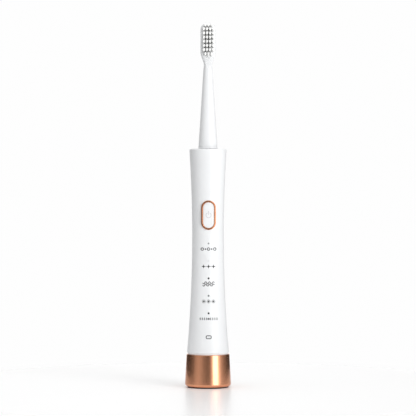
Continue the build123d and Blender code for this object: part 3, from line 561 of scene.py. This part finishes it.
def light_spacing():
    """Height of the top light's middle, and the distance down from each light to the next."""
    window = lights_high.x - lights_low.x
    pitch = (lights_high.z - lights_low.z - window) / (LIGHT_COUNT - 1)
    return lights_high.z - window / 2, pitch


def light_window():
    """Smoked windows, each as dark as its light is dimmed, told apart by their height; the glow of a lit
    light is painted into its window's colour.
    """
    finish, tree, shader = new_finish("light_windows")
    height = tree.nodes.new("ShaderNodeSeparateXYZ")
    tree.links.new(own_place(tree), height.inputs["Vector"])
    middle, pitch = light_spacing()
    steps = len(WINDOW_TINTS_AND_GLOW)
    rank = between(tree, height.outputs["Z"], 0.0, 1.0, middle + pitch / 2, middle - (steps - 0.5) * pitch)
    tints = tree.nodes.new("ShaderNodeValToRGB")
    tints.color_ramp.interpolation = "CONSTANT"
    tints.color_ramp.elements.remove(tints.color_ramp.elements[1])
    for number, tint in enumerate(WINDOW_TINTS_AND_GLOW):
        if number:
            tints.color_ramp.elements.new(number / steps)
        tints.color_ramp.elements[number].color = (*tint, 1)
    tree.links.new(rank, tints.inputs["Fac"])
    # painted glow: each light's brightness goes into its window's base colour
    tree.links.new(tints.outputs["Color"], shader.inputs["Base Color"])
    tree.links.new(between(tree, grain(tree, 0.4 * MM), 0.12, 0.2), shader.inputs["Roughness"])
    return finish


def refinish(slot, finish):
    """Gives every CAD node of a material slot its finish."""
    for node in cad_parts.values():
        for place in node.material_slots:
            if place.material and place.material.name == slot:
                place.material = finish


# ---------------------------------------------------------------- making pieces
def finished_piece(name, bm, finish, body):
    """Turns a bmesh into a piece that rides on a body."""
    mesh = bpy.data.meshes.new(name)
    bm.to_mesh(mesh)
    bm.free()
    mesh.materials.append(finish)
    piece = bpy.data.objects.new(name, mesh)
    bpy.context.scene.collection.objects.link(piece)
    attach(piece, body)
    return piece


def added_since(bm, count):
    """The vertices that were added after there were that many."""
    bm.verts.ensure_lookup_table()
    return bm.verts[count:]


def put(bm, count, x, z, turn=0.0):
    """Turns what was added since then, stands it up to face the front and moves it to its place."""
    stood_up = Matrix.Rotation(math.radians(90), 4, "X") @ Matrix.Rotation(turn, 4, "Z")
    bmesh.ops.transform(bm, matrix=Matrix.Translation((x, 0, z)) @ stood_up, verts=added_since(bm, count))


def add_dot(bm, x, z, radius):
    """A printed dot."""
    count = len(bm.verts)
    bmesh.ops.create_circle(bm, cap_ends=True, cap_tris=True, segments=20, radius=radius)
    put(bm, count, x, z)


def add_bar(bm, x, z, length, stroke, turn=0.0):
    """A printed bar, level before it is turned."""
    count = len(bm.verts)
    bmesh.ops.create_grid(bm, x_segments=8, y_segments=1, size=0.5)
    bmesh.ops.scale(bm, vec=(length, stroke, 1), verts=added_since(bm, count))
    put(bm, count, x, z, turn)


def add_arc(bm, x, z, radius, stroke, start, sweep):
    """A printed arc, with its angles in degrees anticlockwise from the right."""
    count = len(bm.verts)
    inner = bm.verts.new((radius - stroke / 2, 0, 0))
    outer = bm.verts.new((radius + stroke / 2, 0, 0))
    edge = bm.edges.new((inner, outer))
    bmesh.ops.spin(
        bm,
        geom=[inner, outer, edge],
        cent=(0, 0, 0),
        axis=(0, 0, 1),
        angle=math.radians(sweep),
        steps=max(6, round(abs(sweep) / 12)),
        use_merge=sweep == 360,
    )
    put(bm, count, x, z, math.radians(start))


def add_sparkle(bm, x, z, size):
    """A printed star with four long points."""
    count = len(bm.verts)
    bmesh.ops.create_circle(bm, cap_ends=True, cap_tris=True, segments=8, radius=size / 2)
    hollows = [v for v in added_since(bm, count) if min(abs(v.co.x), abs(v.co.y)) > size / 8]
    bmesh.ops.scale(bm, vec=(0.36, 0.36, 1), verts=hollows)
    put(bm, count, x, z)


def bubbles(bm, z, size, stroke):
    """Daily cleaning: five bubbles, open and full by turns."""
    step = 0.82 * size
    for place in range(-2, 3):
        if place % 2:
            add_dot(bm, place * step, z, size * 0.2)
        else:
            add_arc(bm, place * step, z, (size - stroke) / 2 * 0.82, stroke, 0, 360)


def sparkles(bm, z, size, stroke):
    """Polishing: three stars with small dots between them."""
    step = 1.3 * size
    for place in (-1, 0, 1):
        add_sparkle(bm, place * step, z, 1.12 * size)
    for place in (-0.5, 0.5):
        add_dot(bm, place * step, z, stroke / 2)


def ripples(bm, z, size, stroke):
    """Gentle brushing: two rows of ripples."""
    radius = size / 4
    for level in (-0.3 * size, 0.3 * size):
        for place in range(6):
            bend = 1 if place % 2 else -1
            add_arc(bm, (place - 2.5) * 2 * radius, z + level, radius, stroke, 0, 180 * bend)


def suns(bm, z, size, stroke):
    """Whitening: three small suns."""
    step = 1.25 * size
    for place in (-1, 0, 1):
        add_dot(bm, place * step, z, 0.24 * size)
        for ray in range(8):
            turn = ray * math.radians(45)
            reach = 0.43 * size
            add_bar(
                bm,
                place * step + reach * math.cos(turn),
                z + reach * math.sin(turn),
                0.2 * size,
                0.7 * stroke,
                turn,
            )


def pulses(bm, z, size, stroke):
    """Gum massage: a dot between spreading waves."""
    add_dot(bm, 0, z, 0.26 * size)
    for ring in range(1, 5):
        spread = 70 / ring
        for side in (0, 180):
            add_arc(bm, 0, z, ring * 0.55 * size, stroke, side - spread / 2, spread)


def lay_on(bm, node, height):
    """Lays flat marks on the front of a CAD node, cut small enough to follow it, and thickens them."""
    bmesh.ops.triangulate(bm, faces=bm.faces[:])
    while long_edges := [edge for edge in bm.edges if edge.calc_length() > LONGEST_INK_EDGE]:
        bmesh.ops.subdivide_edges(bm, edges=long_edges, cuts=1)
        bmesh.ops.triangulate(bm, faces=bm.faces[:])
    surface = BVHTree.FromObject(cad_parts[node], bpy.context.evaluated_depsgraph_get())
    start = 2 * cad_low.y
    for vert in bm.verts:
        hit = surface.ray_cast(Vector((vert.co.x, start, vert.co.z)), Vector((0, 1, 0)))[0]
        if hit is None:
            raise RuntimeError(f"a mark misses {node} at height {vert.co.z:.4f}")
        vert.co.y = hit.y + height / 2
    printed = bmesh.ops.extrude_face_region(bm, geom=bm.faces[:])
    raised = [part for part in printed["geom"] if isinstance(part, bmesh.types.BMVert)]
    bmesh.ops.translate(bm, vec=(0, -1.5 * height, 0), verts=raised)
    bmesh.ops.recalc_face_normals(bm, faces=bm.faces[:])


def filament_shape(radius, length):
    """One straight filament with a rounded tip, standing on the origin along +Z, six-sided."""
    bm = bmesh.new()
    bmesh.ops.create_circle(bm, segments=6, radius=radius)
    rim = bm.edges[:]
    rings = ((0.35, 1.0), (0.65, 1.0), (0.86, 1.0), (1 - 0.6 * radius / length, 1.0), (1.0, 0.55))
    level = 0.0
    width = 1.0
    for share, narrowing in rings:
        grown = bmesh.ops.extrude_edge_only(bm, edges=rim)["geom"]
        rim = [part for part in grown if isinstance(part, bmesh.types.BMEdge)]
        rim = [edge for edge in rim if all(v in grown for v in edge.verts)]
        new = [part for part in grown if isinstance(part, bmesh.types.BMVert)]
        bmesh.ops.translate(bm, vec=(0, 0, share * length - level), verts=new)
        bmesh.ops.scale(bm, vec=(narrowing / width, narrowing / width, 1), verts=new)
        level = share * length
        width = narrowing
    bmesh.ops.contextual_create(bm, geom=rim)
    bmesh.ops.recalc_face_normals(bm, faces=bm.faces[:])
    for face in bm.faces:
        face.smooth = True
    shape = bpy.data.meshes.new("filament")
    bm.to_mesh(shape)
    bm.free()
    return shape


def add_tuft_core(bm, x, z, half_width, half_height, length):
    """The solid body of a tuft: its filaments show only at their tips and along its outside."""
    core = bmesh.ops.create_cone(
        bm,
        cap_ends=True,
        segments=18,
        radius1=1.0,
        radius2=1.0,
        depth=length,
    )["verts"]
    bmesh.ops.scale(bm, vec=(half_width, half_height, 1), verts=core)
    place = Matrix.Translation((x, tufts_high.y - length / 2, z)) @ Matrix.Rotation(math.radians(90), 4, "X")
    bmesh.ops.transform(bm, matrix=place, verts=core)


def tuft_places(width, height):
    """The middle of each tuft, as x and z."""
    most = max(TUFT_ROWS)
    pitch_x = (tufts_high.x - tufts_low.x - width) / (most - 1)
    pitch_z = (tufts_high.z - tufts_low.z - height) / (len(TUFT_ROWS) - 1)
    middle = (tufts_high.x + tufts_low.x) / 2
    return [
        (middle + (column - (count - 1) / 2) * pitch_x, tufts_high.z - height / 2 - row * pitch_z)
        for row, count in enumerate(TUFT_ROWS)
        for column in range(count)
    ]


# ---------------------------------------------------------------- operators
class TOOTHBRUSH_OT_outer_finishes(bpy.types.Operator):
    """Give the white mouldings and the rose-gold metal their finishes"""

    bl_idname = "toothbrush.outer_finishes"
    bl_label = "Outer Finishes"

    def execute(self, context):
        settings = context.scene.toothbrush_finishes
        refinish("gloss_white", white_moulding(settings.shell))
        refinish("rose_gold", rose_gold_satin(settings.metal))
        refinish("light_window", light_window())
        return {"FINISHED"}


class TOOTHBRUSH_OT_inner_finishes(bpy.types.Operator):
    """Give rubber, electronics, motor and coils their finishes"""

    bl_idname = "toothbrush.inner_finishes"
    bl_label = "Inner Finishes"

    def execute(self, context):
        for slot, finish in inner_finishes().items():
            refinish(slot, finish)
        return {"FINISHED"}


class TOOTHBRUSH_OT_bristles(bpy.types.Operator):
    """Fill the brush plate with tufts of nylon filaments, each round a solid core that nearly fills it"""

    bl_idname = "toothbrush.bristles"
    bl_label = "Bristles"

    def execute(self, context):
        settings = context.scene.toothbrush_bristles
        draw = random.Random(settings.seed)
        length = tufts_high.y - tufts_low.y
        shape = filament_shape(settings.filament_radius, length)
        per_filament = len(shape.vertices)
        golden_turn = math.pi * (3 - math.sqrt(5))
        half_width = (settings.tuft_width / 2 - settings.filament_radius) / (1 + settings.spread)
        half_height = (settings.tuft_height / 2 - settings.filament_radius) / (1 + settings.spread)
        core_half_width = half_width * (1 + settings.spread) + CORE_SIDE * settings.filament_radius
        core_half_height = half_height * (1 + settings.spread) + CORE_END * settings.filament_radius
        places = tuft_places(settings.tuft_width, settings.tuft_height)
        bm = bmesh.new()
        for x, z in places:
            twist = draw.uniform(0, math.tau)
            for number in range(settings.filaments):
                reach = math.sqrt((number + 0.5) / settings.filaments)
                turn = twist + number * golden_turn
                root = Vector((half_width * reach * math.cos(turn), half_height * reach * math.sin(turn)))
                lean = Vector((draw.gauss(0, settings.lean), draw.gauss(0, settings.lean)))
                stretch = 1 - draw.random() ** 2 * settings.unevenness / length
                bm.from_mesh(shape)
                bm.verts.ensure_lookup_table()
                for vert in bm.verts[-per_filament:]:
                    share = vert.co.z / length
                    across = root * (1 + settings.spread * share) + lean * share**2
                    vert.co = (
                        x + across.x + vert.co.x,
                        tufts_high.y - vert.co.z * stretch,
                        z + across.y + vert.co.y,
                    )
        for x, z in places:
            add_tuft_core(bm, x, z, core_half_width, core_half_height, settings.core_length)
        bmesh.ops.recalc_face_normals(bm, faces=bm.faces[:])
        nylon = worked_finish(
            "nylon_filament",
            context.scene.toothbrush_finishes.nylon,
            (0.3, 0.42),
            0.03,
            0.3 * MM,
            0.002 * MM,
            (1, 0.2, 1),
            IOR=1.53,
        )
        bpy.data.meshes.remove(shape)
        piece = finished_piece("bristle_filaments", bm, nylon, "brush_head")
        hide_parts("bristle_tufts")
        return {"FINISHED"}


class TOOTHBRUSH_OT_printed_marks(bpy.types.Operator):
    """Print the signs of the five modes and the battery outline on the handle"""

    bl_idname = "toothbrush.printed_marks"
    bl_label = "Printed Marks"

    def execute(self, context):
        settings = context.scene.toothbrush_marks
        ink = worked_finish("pad_print_ink", settings.ink, (0.4, 0.5), 0.05, 0.1 * MM, 0.002 * MM)
        top, pitch = light_spacing()
        signs = {"bubbles": bubbles, "sparkles": sparkles, "ripples": ripples, "suns": suns, "pulses": pulses}
        for number, (name, sign) in enumerate(signs.items()):
            bm = bmesh.new()
            level = top - number * pitch - settings.drop
            sign(bm, level, settings.mark_size, settings.stroke)
            lay_on(bm, "handle_shell", settings.ink_height)
            finished_piece(f"mark_{name}", bm, ink, "handle")
        bm = bmesh.new()
        self.battery_outline(bm, settings.stroke)
        lay_on(bm, "handle_shell", settings.ink_height)
        finished_piece("mark_battery", bm, ink, "handle")
        return {"FINISHED"}

    def battery_outline(self, bm, stroke):
        """A rounded frame round the battery light."""
        gap = 0.4 * MM  # between the light and the frame, both sides together
        width = battery_high.x - battery_low.x + 2 * stroke + gap
        height = battery_high.z - battery_low.z + 2 * stroke + gap
        bmesh.ops.create_grid(bm, x_segments=1, y_segments=1, size=0.5)
        bmesh.ops.scale(bm, vec=(width, height, 1), verts=bm.verts[:])
        bmesh.ops.bevel(
            bm,
            geom=bm.verts[:],
            offset=0.42 * height,
            segments=6,
            profile=0.5,
            affect="VERTICES",
            material=-1,
        )
        bmesh.ops.inset_region(
            bm,
            faces=bm.faces[:],
            thickness=stroke,
            use_boundary=True,
            use_even_offset=True,
        )
        inside = max(bm.faces, key=lambda face: len(face.verts))
        bmesh.ops.delete(bm, geom=[inside], context="FACES_ONLY")
        put(bm, 0, 0, (battery_low.z + battery_high.z) / 2)


class TOOTHBRUSH_OT_power_mark(bpy.types.Operator):
    """Print the open ring and bar of a power mark on the button"""

    bl_idname = "toothbrush.power_mark"
    bl_label = "Power Mark"

    def execute(self, context):
        settings = context.scene.toothbrush_marks
        ink = worked_finish("pale_grey_ink", settings.button_ink, (0.35, 0.45), 0.03, 0.1 * MM, 0.002 * MM)
        middle = (ring_low.z + ring_high.z) / 2
        opening = 60
        bm = bmesh.new()
        add_arc(bm, 0, middle, settings.power_radius, settings.stroke, 90 + opening / 2, 360 - opening)
        bar_level = middle + 0.85 * settings.power_radius
        add_bar(bm, 0, bar_level, 1.5 * settings.power_radius, settings.stroke, math.pi / 2)
        lay_on(bm, "power_button", settings.ink_height)
        finished_piece("mark_power", bm, ink, "power_button")
        return {"FINISHED"}


class TOOTHBRUSH_OT_socket_contacts(bpy.types.Operator):
    """Lay the row of plated contacts on both faces of the charging socket's tongue"""

    bl_idname = "toothbrush.socket_contacts"
    bl_label = "Socket Contacts"

    def execute(self, context):
        contacts = 12
        pitch = 0.5 * MM
        width = 0.26 * MM
        thickness = 0.06 * MM
        length = 0.6 * (tongue_high.y - tongue_low.y)
        plate = worked_finish(
            "contact_plate", (0.9, 0.66, 0.3), (0.15, 0.25), 0.04, 0.2 * MM, 0.001 * MM, Metallic=1.0
        )
        tongue_middle = (socket_low.z + socket_high.z) / 2
        half_thickness = 0.35 * MM
        tip_margin = 0.35 * MM
        bm = bmesh.new()
        for side in (-1, 1):
            for number in range(contacts):
                made = bmesh.ops.create_cube(bm, size=1.0)["verts"]
                bmesh.ops.scale(bm, vec=(width, length, thickness), verts=made)
                place = (
                    (number - (contacts - 1) / 2) * pitch,
                    tongue_high.y - tip_margin - length / 2,
                    tongue_middle + side * half_thickness,
                )
                bmesh.ops.translate(bm, vec=place, verts=made)
        long_edges = [e for e in bm.edges if e.calc_length() > length / 2]
        bmesh.ops.bevel(
            bm,
            geom=long_edges,
            offset=thickness / 4,
            segments=2,
            profile=0.5,
            affect="EDGES",
            material=-1,
        )
        finished_piece("socket_contacts", bm, plate, "charger")
        return {"FINISHED"}


class TOOTHBRUSH_OT_studio(bpy.types.Operator):
    """Set up the white floor, the ring of soft panels and the camera"""

    bl_idname = "toothbrush.studio"
    bl_label = "Studio"

    def execute(self, context):
        settings = context.scene.toothbrush_studio
        self.floor(settings)
        self.panels(context.scene, settings)
        self.camera(context.scene, settings)
        context.scene.view_settings.view_transform = "Standard"
        return {"FINISHED"}

    def floor(self, settings):
        """A round white floor with a soft sheen."""
        bm = bmesh.new()
        bmesh.ops.create_circle(bm, cap_ends=True, segments=96, radius=settings.floor_radius)
        mesh = bpy.data.meshes.new("floor")
        bm.to_mesh(mesh)
        bm.free()
        finish, tree, shader = new_finish("pale_floor")
        white = tinted(tree, grain(tree, 0.2), (0.945, 0.945, 0.945), (0.955, 0.955, 0.955))
        tree.links.new(white, shader.inputs["Base Color"])
        shader.inputs["Roughness"].default_value = 0.32
        mesh.materials.append(finish)
        floor = bpy.data.objects.new("floor", mesh)
        bpy.context.scene.collection.objects.link(floor)

    def panels(self, scene, settings):
        """White all round to the camera, and to the object a ring of panels with a wide one overhead."""
        world = bpy.data.worlds.new("studio")
        scene.world = world
        world.use_nodes = True
        tree = world.node_tree
        tree.nodes.clear()
        direction = tree.nodes.new("ShaderNodeSeparateXYZ")
        tree.links.new(tree.nodes.new("ShaderNodeTexCoord").outputs["Generated"], direction.inputs["Vector"])
        towards = calculated(tree, "MULTIPLY", direction.outputs["Y"], -1.0)
        angle = calculated(tree, "ARCTAN2", direction.outputs["X"], towards)
        ring = self.panel_ramp(tree)
        tree.links.new(between(tree, angle, 0.0, 1.0, -math.pi, math.pi), ring.inputs["Fac"])
        brightest = max(brightness for _, brightness in STUDIO_PANELS)
        ray = tree.nodes.new("ShaderNodeLightPath")
        soft = ray.outputs["Is Diffuse Ray"]
        side = calculated(tree, "MULTIPLY", direction.outputs["X"], -settings.fill_side / brightest)
        fill = calculated(tree, "ADD", side, settings.fill / brightest)
        held = tree.nodes.new("ShaderNodeClamp")
        tree.links.new(ring.outputs["Color"], held.inputs["Value"])
        tree.links.new(calculated(tree, "MULTIPLY", fill, soft), held.inputs["Min"])
        tree.links.new(between(tree, soft, 1.0, settings.key / brightest, 0.0, 1.0), held.inputs["Max"])
        around = tree.nodes.new("ShaderNodeBackground")
        around.inputs["Strength"].default_value = brightest * settings.light
        tree.links.new(held.outputs["Result"], around.inputs["Color"])
        above = tree.nodes.new("ShaderNodeBackground")
        above.inputs["Strength"].default_value = settings.overhead
        lit = tree.nodes.new("ShaderNodeMixShader")
        tree.links.new(between(tree, direction.outputs["Z"], 0.0, 1.0, 0.55, 0.85), lit.inputs["Fac"])
        tree.links.new(around.outputs["Background"], lit.inputs[1])
        tree.links.new(above.outputs["Background"], lit.inputs[2])
        seen = tree.nodes.new("ShaderNodeBackground")
        seen.inputs["Color"].default_value = (0.99, 0.99, 0.99, 1)
        both = tree.nodes.new("ShaderNodeMixShader")
        tree.links.new(ray.outputs["Is Camera Ray"], both.inputs["Fac"])
        tree.links.new(lit.outputs["Shader"], both.inputs[1])
        tree.links.new(seen.outputs["Background"], both.inputs[2])
        out = tree.nodes.new("ShaderNodeOutputWorld")
        tree.links.new(both.outputs["Shader"], out.inputs["Surface"])

    def panel_ramp(self, tree):
        """Brightness of the ring of panels, as a share of the brightest, over one turn."""
        ring = tree.nodes.new("ShaderNodeValToRGB")
        ring.color_ramp.interpolation = "EASE"
        stops = ring.color_ramp.elements
        stops.remove(stops[1])
        brightest = max(brightness for _, brightness in STUDIO_PANELS)
        for number, (degrees, brightness) in enumerate(STUDIO_PANELS):
            place = (degrees + 180) / 360
            stop = stops.new(place) if number else stops[0]
            stop.position = place
            stop.color = (*[brightness / brightest] * 3, 1)
        return ring

    def camera(self, scene, settings):
        """A level camera at a long lens, a little to one side of the front."""
        lens = bpy.data.cameras.new("camera")
        lens.lens = lens.sensor_width * settings.distance / settings.view_width
        lens.clip_start = 0.05
        lens.clip_end = 20
        camera = bpy.data.objects.new("camera", lens)
        scene.collection.objects.link(camera)
        turned = Matrix.Rotation(settings.turn, 4, "Z")
        back = Matrix.Translation((0, -settings.distance, settings.eye_level))
        level = Matrix.Rotation(math.radians(90), 4, "X")
        camera.matrix_world = turned @ back @ level
        scene.camera = camera


class TOOTHBRUSH_PT_panel(bpy.types.Panel):
    """Steps and settings of the toothbrush"""

    bl_idname = "TOOTHBRUSH_PT_panel"
    bl_label = "Toothbrush on Charger"
    bl_space_type = "VIEW_3D"
    bl_region_type = "UI"
    bl_category = "Toothbrush"

    def draw(self, context):
        scene = context.scene
        for title, group, operators in STEPS:
            box = self.layout.box()
            box.label(text=title)
            settings = getattr(scene, group)
            for name in settings.bl_rna.properties.keys():
                if name not in {"rna_type", "name"}:
                    box.prop(settings, name)
            for operator in operators:
                box.operator(operator.bl_idname)


STEPS = (
    (
        "Finishes",
        "toothbrush_finishes",
        (TOOTHBRUSH_OT_outer_finishes, TOOTHBRUSH_OT_inner_finishes, TOOTHBRUSH_OT_socket_contacts),
    ),
    ("Bristles", "toothbrush_bristles", (TOOTHBRUSH_OT_bristles,)),
    ("Marks", "toothbrush_marks", (TOOTHBRUSH_OT_printed_marks, TOOTHBRUSH_OT_power_mark)),
    ("Studio", "toothbrush_studio", (TOOTHBRUSH_OT_studio,)),
)

SETTINGS = {
    "toothbrush_finishes": FinishSettings,
    "toothbrush_bristles": BristleSettings,
    "toothbrush_marks": MarkSettings,
    "toothbrush_studio": StudioSettings,
}
CLASSES = (
    *SETTINGS.values(),
    *[operator for _, _, operators in STEPS for operator in operators],
    TOOTHBRUSH_PT_panel,
)


def register():
    for cls in CLASSES:
        bpy.utils.register_class(cls)
    for name, group in SETTINGS.items():
        setattr(bpy.types.Scene, name, PointerProperty(type=group))


def unregister():
    for name in SETTINGS:
        delattr(bpy.types.Scene, name)
    for cls in reversed(CLASSES):
        bpy.utils.unregister_class(cls)


def main():
    register()
    bpy.ops.toothbrush.outer_finishes()
    bpy.ops.toothbrush.inner_finishes()
    bpy.ops.toothbrush.socket_contacts()
    bpy.ops.toothbrush.bristles()
    bpy.ops.toothbrush.printed_marks()
    bpy.ops.toothbrush.power_mark()
    bpy.ops.toothbrush.studio()


if __name__ == "__main__":
    main()
